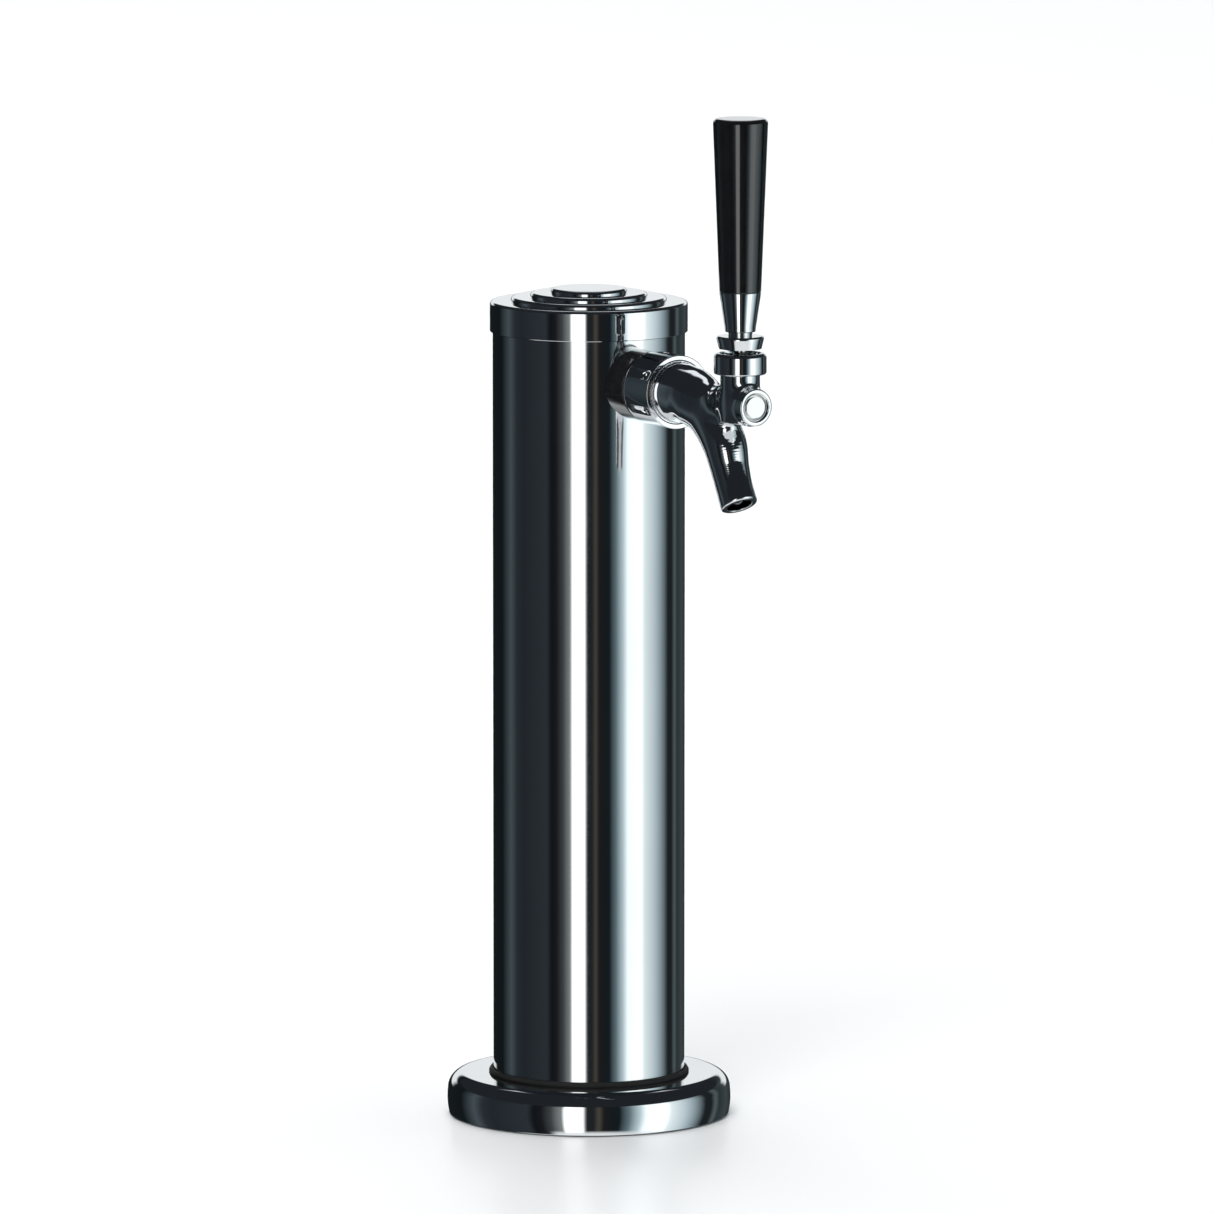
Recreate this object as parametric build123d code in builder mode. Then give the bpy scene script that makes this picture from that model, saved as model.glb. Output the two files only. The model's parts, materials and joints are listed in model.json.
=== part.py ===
from build123d import *
import math
import os

# Beer tap tower: a 3 inch polished column on a covered base flange, a slip-over
# cap, and one rear-closing faucet on a shank through the column wall.
# Frame: origin at the centre of the base on its underside, +Z up, faucet toward -Y.
# "d" below is a distance from the column axis toward -Y.

# ---------------------------------------------------------------- dimensions
# column and base
COL_R = 38.1            # 3 inch tube
COL_WALL = 1.5
COL_Z0 = 5.5
COL_Z1 = 322.4
FLANGE_R = 52.5
GASKET_T = 1.5
FLANGE_T = 4.0
LINE_R = 31.0           # passage for the lines through the base
SPIGOT_R = 36.55
SPIGOT_Z1 = 13.5
BOLT_PCD = 92.0
BOLT_R = 3.3
BOLT_COUNT = 4

COVER_R = 56.5
COVER_TOP = 16.5
COVER_WALL = 2.0
COVER_BORE = 38.5
COVER_Z0 = 0.3
SEAL_BORE = 38.2
SEAL_R = 39.9
SEAL_TOP = 18.4

# cap
CAP_R = 39.2
CAP_BORE = 38.2
CAP_Z0 = 314.0
CAP_RIM = 326.0
CAP_PLATE = 2.0
CAP_TIERS = [(31.0, 1.7), (23.3, 1.7), (15.2, 1.7)]

# insulation
FOAM_R = 36.2
FOAM_BORE = 20.0
FOAM_Z0 = 14.0
FOAM_Z1 = 262.0

# shank line
ZF = 296.5              # height of the faucet axis
SHANK_R = 11.1
SHANK_HOLE_R = 11.3
SHANK_BORE = 4.0
SHANK_IN = 20.0         # inner end
SHANK_OUT = 59.0        # outer end, face against the coupling washer
SHANK_FLANGE_R = 12.35
COLLAR_R = 14.0
COLLAR_OUT = 48.5
RING_R = 13.4
NUT_R = 14.5
NUT_IN = 50.3
NUT_OUT = 68.0
NUT_BORE = 12.5

# beer tube
TUBE_R = 3.97
TUBE_BORE = 3.2
TUBE_BEND = 14.0
TUBE_Z0 = 18.0
TUBE_BEAD_Z = 44.0

# faucet
BODY_IN = 60.5
CHAMBER_R = 9.0
SEAT_D = 76.0
THROAT_R = 5.0
THROAT_OUT = 86.0
ROD_R = 2.75
ROD_BORE = 2.80
GUIDE_R = 5.0
GUIDE_BORE = 5.05
GUIDE_IN = 108.5
GUIDE_BORE_IN = 100.3
BOSS_R = 7.3
BOSS_OUT = 126.0
SHAFT_OUT = 125.6
SPOUT_BORE = 5.0

# lever; heights h are above the ball's centre
BALL_D = 114.0
BALL_Z = 310.0
BALL_R = 6.5
SOCKET_R = 6.6
STEM_R = 2.6
ARM_R = 1.4
ARM_TIP_R = 3.0
ARM_LEN = 13.5
NECK_R = 7.7
NECK_THREAD_R = 8.7
BONNET_R = 10.25
BONNET_BORE = 8.75
DISH_R = 11.85
LEVER_COLLAR_R = 9.3
LEVER_THREAD_R = 4.7
GRIP_R0 = 8.1
GRIP_R1 = 10.75
GRIP_Z0 = 30.6
GRIP_Z1 = 98.0

os.makedirs("parts", exist_ok=True)

FAUCET_AXIS = Axis((0, 0, ZF), (0, 1, 0))
LEVER_AXIS = Axis((0, -BALL_D, 0), (0, 0, 1))
LEVER_PLANE = Plane(origin=(0, -BALL_D, BALL_Z), x_dir=(1, 0, 0), z_dir=(0, -1, 0))


def across(d):
    """Plane square to the faucet axis at distance d, facing -Y."""
    return Plane(origin=(0, -d, ZF), x_dir=(1, 0, 0), z_dir=(0, -1, 0))


def sphere_r(radius, h):
    return math.sqrt(radius * radius - h * h)


# ---------------------------------------------------------------- base
with BuildPart() as base_gasket:
    with BuildSketch(Plane.XY):
        Circle(FLANGE_R - 0.5)
        Circle(LINE_R + 0.5, mode=Mode.SUBTRACT)
        with PolarLocations(BOLT_PCD / 2, BOLT_COUNT, start_angle=45):
            Circle(BOLT_R, mode=Mode.SUBTRACT)
    extrude(amount=GASKET_T)

with BuildPart() as mounting_flange:
    with BuildSketch(Plane.XY.offset(GASKET_T)):
        Circle(FLANGE_R)
    extrude(amount=FLANGE_T)
    with BuildSketch(Plane.XY.offset(COL_Z0)):
        Circle(SPIGOT_R)
    extrude(amount=SPIGOT_Z1 - COL_Z0)
    with BuildSketch(Plane.XY.offset(GASKET_T)):
        Circle(LINE_R)
        with PolarLocations(BOLT_PCD / 2, BOLT_COUNT, start_angle=45):
            Circle(BOLT_R)
    extrude(amount=SPIGOT_Z1, mode=Mode.SUBTRACT)
    chamfer(mounting_flange.faces().sort_by(Axis.Z)[-1].edges().sort_by(SortBy.RADIUS)[-1], 0.8)

with BuildPart() as base_cover:
    with BuildSketch(Plane.XZ):
        with BuildLine():
            Polyline((COVER_BORE, COVER_TOP - COVER_WALL), (COVER_BORE, COVER_TOP), (COVER_R - 6.6, COVER_TOP))
            ThreePointArc((COVER_R - 6.6, COVER_TOP), (COVER_R - 2.075, COVER_TOP - 1.875), (COVER_R - 0.2, COVER_TOP - 6.4))
            ThreePointArc((COVER_R - 0.2, COVER_TOP - 6.4), (COVER_R, 6.2), (COVER_R - 0.7, COVER_Z0))
            Line((COVER_R - 0.7, COVER_Z0), (COVER_R - 0.7 - COVER_WALL, COVER_Z0))
            Polyline((COVER_R - 0.7 - COVER_WALL, COVER_Z0), (COVER_R - 0.7 - COVER_WALL, COVER_TOP - 6.9),
                     (COVER_R - 4.35, COVER_TOP - 3.7), (COVER_R - 7.1, COVER_TOP - COVER_WALL), (COVER_BORE, COVER_TOP - COVER_WALL))
        make_face()
    revolve(axis=Axis.Z)

with BuildPart() as cover_seal_ring:
    with BuildSketch(Plane.XZ):
        with BuildLine():
            Polyline((SEAL_R, COVER_TOP), (SEAL_BORE, COVER_TOP), (SEAL_BORE, SEAL_TOP - 0.5))
            ThreePointArc((SEAL_BORE, SEAL_TOP - 0.5), (SEAL_BORE + 0.3, SEAL_TOP - 0.1), (SEAL_BORE + 0.8, SEAL_TOP))
            ThreePointArc((SEAL_BORE + 0.8, SEAL_TOP), (SEAL_R - 0.3, SEAL_TOP - 0.35), (SEAL_R, COVER_TOP + 0.9))
            Line((SEAL_R, COVER_TOP + 0.9), (SEAL_R, COVER_TOP))
        make_face()
    revolve(axis=Axis.Z)

# ---------------------------------------------------------------- column
with BuildPart() as column_tube:
    with BuildSketch(Plane.XY.offset(COL_Z0)):
        Circle(COL_R)
        Circle(COL_R - COL_WALL, mode=Mode.SUBTRACT)
    extrude(amount=COL_Z1 - COL_Z0)
    with BuildSketch(across(20)):
        Circle(SHANK_HOLE_R)
    extrude(amount=30, mode=Mode.SUBTRACT)

with BuildPart() as insulation_sleeve:
    with BuildSketch(Plane.XY.offset(FOAM_Z0)):
        Circle(FOAM_R)
        Circle(FOAM_BORE, mode=Mode.SUBTRACT)
    extrude(amount=FOAM_Z1 - FOAM_Z0)

# ---------------------------------------------------------------- cap
cap_profile = [(CAP_R, CAP_Z0), (CAP_R, CAP_RIM)]
tier_z = CAP_RIM
for tier_r, tier_h in CAP_TIERS:
    cap_profile += [(tier_r, tier_z), (tier_r, tier_z + tier_h)]
    tier_z += tier_h
cap_profile += [(0, tier_z), (0, CAP_RIM - CAP_PLATE), (CAP_BORE, CAP_RIM - CAP_PLATE), (CAP_BORE, CAP_Z0)]
with BuildPart() as top_cap:
    with BuildSketch(Plane.XZ):
        with BuildLine():
            Polyline(*cap_profile, close=True)
        make_face()
    revolve(axis=Axis.Z)
    fillet(top_cap.edges().filter_by(GeomType.CIRCLE).group_by(Axis.Z)[-1], 0.4)

with BuildPart() as cap_seal_ring:
    with BuildSketch(Plane.XY.offset(COL_Z1 + 0.1)):
        Circle(COL_R - 0.1)
        Circle(COL_R - COL_WALL - 1.6, mode=Mode.SUBTRACT)
    extrude(amount=CAP_RIM - CAP_PLATE - COL_Z1 - 0.1)

# ---------------------------------------------------------------- shank line
with BuildPart() as shank:
    with BuildSketch(across(SHANK_IN)):
        Circle(SHANK_R)
    extrude(amount=SHANK_OUT - SHANK_IN)
    with BuildSketch(across(SHANK_OUT - 2.0)):
        Circle(SHANK_FLANGE_R)
    extrude(amount=2.0)
    with BuildSketch(across(SHANK_IN)):
        Circle(SHANK_BORE)
    extrude(amount=SHANK_OUT - SHANK_IN, mode=Mode.SUBTRACT)
    chamfer(shank.faces().sort_by(Axis.Y)[-1].edges().sort_by(SortBy.RADIUS)[-1], 0.8)

with BuildPart() as shank_collar:
    with BuildSketch(across(30)):
        Circle(COLLAR_R)
        Circle(SHANK_R + 0.05, mode=Mode.SUBTRACT)
    extrude(amount=COLLAR_OUT - 30)
    with BuildSketch(Plane.XY.offset(ZF - 20)):
        Circle(COL_R + 0.02)
    extrude(amount=40, mode=Mode.SUBTRACT)

with BuildPart() as shank_shoulder_ring:
    with BuildSketch(across(COLLAR_OUT)):
        Circle(RING_R)
        Circle(SHANK_R + 0.02, mode=Mode.SUBTRACT)
    extrude(amount=NUT_IN - COLLAR_OUT - 0.2)

with BuildPart() as inner_saddle_washer:
    with BuildSketch(across(32)):
        Circle(14.0)
        Circle(SHANK_R + 0.05, mode=Mode.SUBTRACT)
    extrude(amount=8)
    with BuildSketch(Plane.XY.offset(ZF - 20)):
        Circle(COL_R - COL_WALL - 0.03)
    extrude(amount=40, mode=Mode.INTERSECT)

with BuildPart() as shank_lock_nut:
    with BuildSketch(across(26)):
        RegularPolygon(15.0, 6, major_radius=False, rotation=30)
        Circle(SHANK_R + 0.02, mode=Mode.SUBTRACT)
    extrude(amount=6)

with BuildPart() as tail_washer:
    with BuildSketch(across(SHANK_IN - 1.5)):
        Circle(9.6)
        Circle(4.2, mode=Mode.SUBTRACT)
    extrude(amount=1.5)

with BuildPart() as tail_nut:
    with BuildSketch(across(14.5)):
        RegularPolygon(13.5, 6, major_radius=False, rotation=30)
    extrude(amount=9.5)
    with BuildSketch(across(17.0)):
        Circle(SHANK_R + 0.02)
    extrude(amount=8, mode=Mode.SUBTRACT)
    with BuildSketch(across(14.0)):
        Circle(TUBE_R + 0.1)
    extrude(amount=4, mode=Mode.SUBTRACT)

# tube: short run out of the tail nut, one bend, then down the column axis
with BuildPart() as beer_tube:
    with BuildLine() as tube_path:
        Line((0, -18.5, ZF), (0, -TUBE_BEND, ZF))
        ThreePointArc((0, -TUBE_BEND, ZF),
                      (0, -TUBE_BEND * (1 - math.sin(math.pi / 4)), ZF - TUBE_BEND * (1 - math.cos(math.pi / 4))),
                      (0, 0, ZF - TUBE_BEND))
        Line((0, 0, ZF - TUBE_BEND), (0, 0, TUBE_Z0))
    with BuildSketch(Plane(origin=(0, -18.5, ZF), x_dir=(1, 0, 0), z_dir=(0, 1, 0))):
        Circle(TUBE_R)
        Circle(TUBE_BORE, mode=Mode.SUBTRACT)
    sweep(path=tube_path.line)
    with BuildSketch(across(17.02)):
        Circle(9.5)
        Circle(TUBE_BORE, mode=Mode.SUBTRACT)
    extrude(amount=1.48)
    with BuildSketch(Plane.XY.offset(TUBE_BEAD_Z)):
        Circle(4.7)
        Circle(TUBE_BORE, mode=Mode.SUBTRACT)
    extrude(amount=2.0)

# ---------------------------------------------------------------- coupling
with BuildPart() as coupling_nut:
    with BuildSketch(Plane.YZ):
        with BuildLine():
            Polyline((-NUT_IN, ZF + SHANK_R + 0.1), (-NUT_IN, ZF + NUT_R - 0.6), (-NUT_IN - 0.6, ZF + NUT_R),
                     (-NUT_OUT + 0.7, ZF + NUT_R), (-NUT_OUT, ZF + NUT_R - 0.7), (-NUT_OUT, ZF + NUT_BORE),
                     (-SHANK_OUT + 2.05, ZF + NUT_BORE), (-SHANK_OUT + 2.05, ZF + SHANK_R + 0.1), close=True)
        make_face()
    revolve(axis=FAUCET_AXIS)
    # six spanner holes round the rim
    for k in range(6):
        a = math.radians(30 + 60 * k)
        hole_dir = (math.cos(a), 0, math.sin(a))
        with BuildSketch(Plane(origin=(12.9 * hole_dir[0], -63.6, ZF + 12.9 * hole_dir[2]), x_dir=(0, 1, 0), z_dir=hole_dir)):
            Circle(2.1)
        extrude(amount=4, mode=Mode.SUBTRACT)

with BuildPart() as coupling_washer:
    with BuildSketch(across(SHANK_OUT)):
        Circle(12.3)
        Circle(9.8, mode=Mode.SUBTRACT)
    extrude(amount=BODY_IN - SHANK_OUT)

# ---------------------------------------------------------------- faucet body
# spout centre line in (d, z), with the outer radius and the lean from vertical
SPOUT = [
    (84.5, 292.5, 8.3, 52.0),
    (94.6, 287.2, 8.9, 50.0),
    (102.3, 280.2, 8.7, 35.0),
    (106.3, 271.2, 7.6, 24.5),
    (109.6, 263.9, 7.2, 27.0),
    (113.6, 256.7, 7.35, 31.0),
]
SPOUT_TIP = (113.6, 256.7)
SPOUT_LEAN = math.radians(31.0)
SPOUT_STRAIGHT = 13.0
SPOUT_START = (SPOUT_TIP[0] - SPOUT_STRAIGHT * math.sin(SPOUT_LEAN), SPOUT_TIP[1] + SPOUT_STRAIGHT * math.cos(SPOUT_LEAN))


def spout_plane(d, z, lean_deg):
    lean = math.radians(lean_deg)
    return Plane(origin=(0, -d, z), x_dir=(1, 0, 0), z_dir=(0, -math.sin(lean), -math.cos(lean)))


with BuildPart() as faucet_body:
    # rear thread, cone, waist and front boss
    with BuildSketch(Plane.YZ):
        with BuildLine():
            Polyline((-BODY_IN, ZF), (-BODY_IN, ZF + 12.45), (-67.9, ZF + 12.45), (-67.9, ZF + 11.9))
            Spline((-67.9, ZF + 11.9), (-76.0, ZF + 11.7), (-81.0, ZF + 11.0), (-86.0, ZF + 9.0), (-91.0, ZF + 6.9),
                   (-95.0, ZF + 6.0), (-99.0, ZF + 6.3), (-103.0, ZF + BOSS_R),
                   tangents=[(-1, 0), (-1, 0)])
            Polyline((-103.0, ZF + BOSS_R), (-BOSS_OUT + 0.5, ZF + BOSS_R), (-BOSS_OUT, ZF + BOSS_R - 0.5), (-BOSS_OUT, ZF), (-BODY_IN, ZF))
        make_face()
    revolve(axis=FAUCET_AXIS)
    # upright neck with the bonnet's thread
    with BuildSketch(LEVER_PLANE):
        with BuildLine():
            Polyline((0, -13.0), (NECK_R, -13.0), (NECK_R, -1.6), (NECK_THREAD_R, -1.6), (NECK_THREAD_R, 2.6), (0, 2.6), close=True)
        make_face()
    revolve(axis=LEVER_AXIS)
    # spout
    for d, z, r, lean in SPOUT:
        with BuildSketch(spout_plane(d, z, lean)):
            Circle(r)
    loft()
    # rear chamber, valve throat, rod guide and front guide
    with BuildSketch(across(BODY_IN)):
        Circle(CHAMBER_R)
    extrude(amount=SEAT_D - BODY_IN, mode=Mode.SUBTRACT)
    with BuildSketch(across(SEAT_D)):
        Circle(THROAT_R)
    extrude(amount=THROAT_OUT - SEAT_D, mode=Mode.SUBTRACT)
    with BuildSketch(across(THROAT_OUT)):
        Circle(ROD_BORE)
    extrude(amount=GUIDE_BORE_IN - THROAT_OUT, mode=Mode.SUBTRACT)
    with BuildSketch(across(GUIDE_BORE_IN)):
        Circle(GUIDE_BORE)
    extrude(amount=BOSS_OUT - GUIDE_BORE_IN, mode=Mode.SUBTRACT)
    # spout passage
    with BuildLine() as spout_line:
        Spline((0, -82.5, ZF - 0.5), (0, -88.5, 289.8), (0, -95.5, 283.6), (0, -102.4, 276.2), (0, -SPOUT_START[0], SPOUT_START[1]),
               tangents=[(0, -math.sin(math.radians(60)), -math.cos(math.radians(60))), (0, -math.sin(SPOUT_LEAN), -math.cos(SPOUT_LEAN))])
    with BuildSketch(spout_plane(82.5, ZF - 0.5, 60.0)):
        Circle(4.6)
    sweep(path=spout_line.line, mode=Mode.SUBTRACT)
    with BuildSketch(spout_plane(SPOUT_START[0], SPOUT_START[1], 31.0)):
        Circle(SPOUT_BORE)
    extrude(amount=SPOUT_STRAIGHT + 2, mode=Mode.SUBTRACT)
    # socket for the washers and the ball
    with BuildSketch(LEVER_PLANE):
        with BuildLine():
            Polyline((0, -4.1), (6.5, -4.1), (6.5, -1.6), (6.75, -1.6), (6.75, 0.3), (7.4, 0.3), (7.4, 3.0), (0, 3.0), close=True)
        make_face()
    revolve(axis=LEVER_AXIS, mode=Mode.SUBTRACT)
    with Locations((0, -BALL_D, BALL_Z)):
        Sphere(6.75, mode=Mode.SUBTRACT)
    # slot for the lever's lower arm
    with BuildSketch(Plane.YZ.offset(-3.3)):
        with BuildLine():
            Polyline((-117.6, BALL_Z - 4.0), (-108.9, BALL_Z - 4.0), (-106.0, 302.3), (-102.7, 302.3), (-102.7, ZF), (-117.6, ZF), close=True)
        make_face()
    extrude(amount=6.6, mode=Mode.SUBTRACT)

# ---------------------------------------------------------------- valve shaft
with BuildPart() as faucet_shaft:
    with BuildSketch(Plane.YZ):
        with BuildLine():
            Polyline((-67.5, ZF), (-67.5, ZF + 2.1), (-67.9, ZF + 2.4), (-72.1, ZF + 2.4), (-72.1, ZF + ROD_R),
                     (-GUIDE_IN, ZF + ROD_R), (-GUIDE_IN, ZF + GUIDE_R - 0.4), (-GUIDE_IN - 0.4, ZF + GUIDE_R),
                     (-SHAFT_OUT + 0.9, ZF + GUIDE_R), (-SHAFT_OUT, ZF + GUIDE_R - 0.9), (-SHAFT_OUT, ZF), close=True)
        make_face()
    revolve(axis=FAUCET_AXIS)
    with BuildSketch(Plane.YZ.offset(-3.3)):
        with Locations((-BALL_D, ZF + 3.3)):
            Rectangle(6.6, 13.4)
    extrude(amount=6.6, mode=Mode.SUBTRACT)
    # flat on top, so that the leaning arm clears the pocket's front edge
    with BuildSketch(Plane.YZ.offset(-6)):
        with Locations((-BALL_D - 1.5, ZF + 3.5 + 2)):
            Rectangle(12.0, 4.0)
    extrude(amount=12, mode=Mode.SUBTRACT)

with BuildPart() as shaft_seat_washer:
    with BuildSketch(across(72.1)):
        Circle(8.0)
        Circle(ROD_R + 0.02, mode=Mode.SUBTRACT)
    extrude(amount=3.8)
    chamfer(shaft_seat_washer.edges().filter_by(GeomType.CIRCLE).sort_by(SortBy.RADIUS)[-2:], 0.4)

with BuildPart() as shaft_seat_nut:
    with BuildSketch(across(68.5)):
        RegularPolygon(4.5, 6, major_radius=False)
        Circle(2.42, mode=Mode.SUBTRACT)
    extrude(amount=3.6)

# ---------------------------------------------------------------- lever
with BuildPart() as lever:
    with BuildSketch(LEVER_PLANE):
        with BuildLine():
            tip_join = -ARM_LEN + sphere_r(ARM_TIP_R, ARM_R)
            ThreePointArc((0, -ARM_LEN - ARM_TIP_R), (ARM_TIP_R, -ARM_LEN), (ARM_R, tip_join))
            Line((ARM_R, tip_join), (ARM_R, -sphere_r(BALL_R, ARM_R)))
            ThreePointArc((ARM_R, -sphere_r(BALL_R, ARM_R)), (BALL_R, 0), (STEM_R, sphere_r(BALL_R, STEM_R)))
            Polyline((STEM_R, sphere_r(BALL_R, STEM_R)), (STEM_R, 13.4), (LEVER_THREAD_R, 13.4), (LEVER_THREAD_R, 41.8),
                     (LEVER_THREAD_R - 0.7, 42.5), (0, 42.5), (0, -ARM_LEN - ARM_TIP_R))
        make_face()
    revolve(axis=LEVER_AXIS)

with BuildPart() as ball_seat_washer:
    with BuildSketch(LEVER_PLANE):
        with BuildLine():
            Line((sphere_r(SOCKET_R, 4.1), -4.1), (6.45, -4.1))
            Line((6.45, -4.1), (6.45, -2.6))
            Line((6.45, -2.6), (sphere_r(SOCKET_R, 2.6), -2.6))
            ThreePointArc((sphere_r(SOCKET_R, 2.6), -2.6), (sphere_r(SOCKET_R, 3.4), -3.4), (sphere_r(SOCKET_R, 4.1), -4.1))
        make_face()
    revolve(axis=LEVER_AXIS)

with BuildPart() as friction_washer:
    with BuildSketch(LEVER_PLANE):
        with BuildLine():
            Line((sphere_r(SOCKET_R, 0.4), 0.4), (7.35, 0.4))
            Line((7.35, 0.4), (7.35, 3.1))
            Line((7.35, 3.1), (sphere_r(SOCKET_R, 3.1), 3.1))
            ThreePointArc((sphere_r(SOCKET_R, 3.1), 3.1), (sphere_r(SOCKET_R, 1.9), 1.9), (sphere_r(SOCKET_R, 0.4), 0.4))
        make_face()
    revolve(axis=LEVER_AXIS)

with BuildPart() as lever_bonnet:
    with BuildSketch(LEVER_PLANE):
        with BuildLine():
            Polyline((BONNET_BORE, -1.5), (BONNET_BORE, 3.1), (6.2, 3.1), (8.3, 6.7), (8.6, 6.7))
            ThreePointArc((8.6, 6.7), (9.767, 6.217), (BONNET_R, 5.05))
            Line((BONNET_R, 5.05), (BONNET_R, -0.7))
            ThreePointArc((BONNET_R, -0.7), (BONNET_R - 0.24, -1.26), (BONNET_R - 0.8, -1.5))
            Line((BONNET_R - 0.8, -1.5), (BONNET_BORE, -1.5))
        make_face()
    revolve(axis=LEVER_AXIS)

with BuildPart() as lever_collar:
    with BuildSketch(LEVER_PLANE):
        with BuildLine():
            ThreePointArc((STEM_R + 0.05, sphere_r(DISH_R, STEM_R + 0.05)), (6.5, sphere_r(DISH_R, 6.5)),
                          (LEVER_COLLAR_R - 1.0, sphere_r(DISH_R, LEVER_COLLAR_R - 1.0)))
            Line((LEVER_COLLAR_R - 1.0, sphere_r(DISH_R, LEVER_COLLAR_R - 1.0)), (LEVER_COLLAR_R, 12.5))
            ThreePointArc((LEVER_COLLAR_R, 12.5), (LEVER_COLLAR_R - 0.19, 13.11), (LEVER_COLLAR_R - 0.75, 13.4))
            Polyline((LEVER_COLLAR_R - 0.75, 13.4), (STEM_R + 0.05, 13.4), (STEM_R + 0.05, sphere_r(DISH_R, STEM_R + 0.05)))
        make_face()
    revolve(axis=LEVER_AXIS)

with BuildPart() as handle_ferrule:
    with BuildSketch(LEVER_PLANE):
        with BuildLine():
            Polyline((LEVER_THREAD_R + 0.05, 15.0), (5.7, 15.0), (5.95, 15.3), (GRIP_R0 - 0.05, GRIP_Z0 - 0.9),
                     (GRIP_R0, GRIP_Z0), (LEVER_THREAD_R + 0.05, GRIP_Z0), close=True)
        make_face()
    revolve(axis=LEVER_AXIS)

with BuildPart() as handle_insert:
    with BuildSketch(LEVER_PLANE):
        with BuildLine():
            Polyline((LEVER_THREAD_R + 0.05, GRIP_Z0 + 0.1), (6.4, GRIP_Z0 + 0.1), (6.4, GRIP_Z0 + 19.4),
                     (LEVER_THREAD_R + 0.05, GRIP_Z0 + 19.4), close=True)
        make_face()
    revolve(axis=LEVER_AXIS)

with BuildPart() as handle_grip:
    with BuildSketch(LEVER_PLANE):
        with BuildLine():
            Polyline((6.45, GRIP_Z0), (GRIP_R0, GRIP_Z0), (GRIP_R1, GRIP_Z1 - 1.8))
            ThreePointArc((GRIP_R1, GRIP_Z1 - 1.8), (GRIP_R1 - 0.45, GRIP_Z1 - 0.45), (GRIP_R1 - 1.8, GRIP_Z1))
            Polyline((GRIP_R1 - 1.8, GRIP_Z1), (0, GRIP_Z1), (0, GRIP_Z0 + 21.0), (6.45, GRIP_Z0 + 21.0), (6.45, GRIP_Z0))
        make_face()
    revolve(axis=LEVER_AXIS)

# ---------------------------------------------------------------- labels and files
pieces = {
    "base_gasket": base_gasket, "mounting_flange": mounting_flange, "base_cover": base_cover,
    "cover_seal_ring": cover_seal_ring, "column_tube": column_tube, "insulation_sleeve": insulation_sleeve,
    "top_cap": top_cap, "cap_seal_ring": cap_seal_ring, "shank": shank, "shank_collar": shank_collar,
    "shank_shoulder_ring": shank_shoulder_ring, "inner_saddle_washer": inner_saddle_washer,
    "shank_lock_nut": shank_lock_nut, "tail_washer": tail_washer, "tail_nut": tail_nut, "beer_tube": beer_tube,
    "coupling_nut": coupling_nut, "coupling_washer": coupling_washer, "faucet_body": faucet_body,
    "faucet_shaft": faucet_shaft, "shaft_seat_washer": shaft_seat_washer, "shaft_seat_nut": shaft_seat_nut,
    "lever": lever, "ball_seat_washer": ball_seat_washer, "friction_washer": friction_washer,
    "lever_bonnet": lever_bonnet, "lever_collar": lever_collar, "handle_ferrule": handle_ferrule,
    "handle_insert": handle_insert, "handle_grip": handle_grip,
}
for name, piece in pieces.items():
    piece.part.label = name
    export_step(piece.part, "parts/" + name + ".step")
    print(name, round(piece.part.volume, 1))
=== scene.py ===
import bpy, bmesh, json, math
import numpy as np
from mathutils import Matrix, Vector

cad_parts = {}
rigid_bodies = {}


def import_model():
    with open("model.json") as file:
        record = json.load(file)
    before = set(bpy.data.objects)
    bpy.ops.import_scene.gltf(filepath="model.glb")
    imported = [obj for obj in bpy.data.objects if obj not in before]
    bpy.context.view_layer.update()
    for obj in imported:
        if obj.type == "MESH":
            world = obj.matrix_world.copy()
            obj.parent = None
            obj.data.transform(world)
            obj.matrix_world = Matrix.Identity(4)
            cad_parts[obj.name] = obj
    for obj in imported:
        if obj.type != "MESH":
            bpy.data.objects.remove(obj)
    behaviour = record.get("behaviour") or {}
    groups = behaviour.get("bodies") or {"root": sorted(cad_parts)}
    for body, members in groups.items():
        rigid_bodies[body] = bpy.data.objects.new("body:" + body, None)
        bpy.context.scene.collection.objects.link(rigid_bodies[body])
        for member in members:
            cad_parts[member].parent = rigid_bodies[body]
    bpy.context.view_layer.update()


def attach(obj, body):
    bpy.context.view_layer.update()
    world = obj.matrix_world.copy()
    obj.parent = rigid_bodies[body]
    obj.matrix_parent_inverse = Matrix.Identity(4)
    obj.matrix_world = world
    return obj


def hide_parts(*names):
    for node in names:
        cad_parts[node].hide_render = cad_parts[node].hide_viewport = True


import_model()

MM = 0.001
ZF = 296.5          # faucet axis height, mm
BALL_D = 114.0      # lever axis, mm from the column axis toward -Y
BALL_Z = 310.0
COL_R = 38.1


# ------------------------------------------------------------------ mesh helpers
def rounded(points, steps=6):
    """Closed outline from (a, r, fillet) corners, with arcs sampled."""
    out = []
    n = len(points)
    for i in range(n):
        p0 = np.array(points[i - 1][:2], float)
        p1 = np.array(points[i][:2], float)
        p2 = np.array(points[(i + 1) % n][:2], float)
        rad = points[i][2] if len(points[i]) > 2 else 0.0
        if rad <= 0:
            out.append(tuple(p1))
            continue
        u = (p0 - p1) / np.linalg.norm(p0 - p1)
        v = (p2 - p1) / np.linalg.norm(p2 - p1)
        half = 0.5 * math.acos(max(-1, min(1, float(u @ v))))
        t = rad / math.tan(half)
        t = min(t, 0.49 * np.linalg.norm(p0 - p1), 0.49 * np.linalg.norm(p2 - p1))
        rad = t * math.tan(half)
        bis = (u + v) / np.linalg.norm(u + v)
        c = p1 + bis * (rad / math.sin(half))
        a = p1 + u * t - c
        b = p1 + v * t - c
        ang = math.acos(max(-1, min(1, float(a @ b) / (rad * rad))))
        for k in range(steps + 1):
            s = k / steps
            w = (math.sin((1 - s) * ang) * a + math.sin(s * ang) * b) / math.sin(ang)
            out.append(tuple(c + w))
    return out


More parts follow.
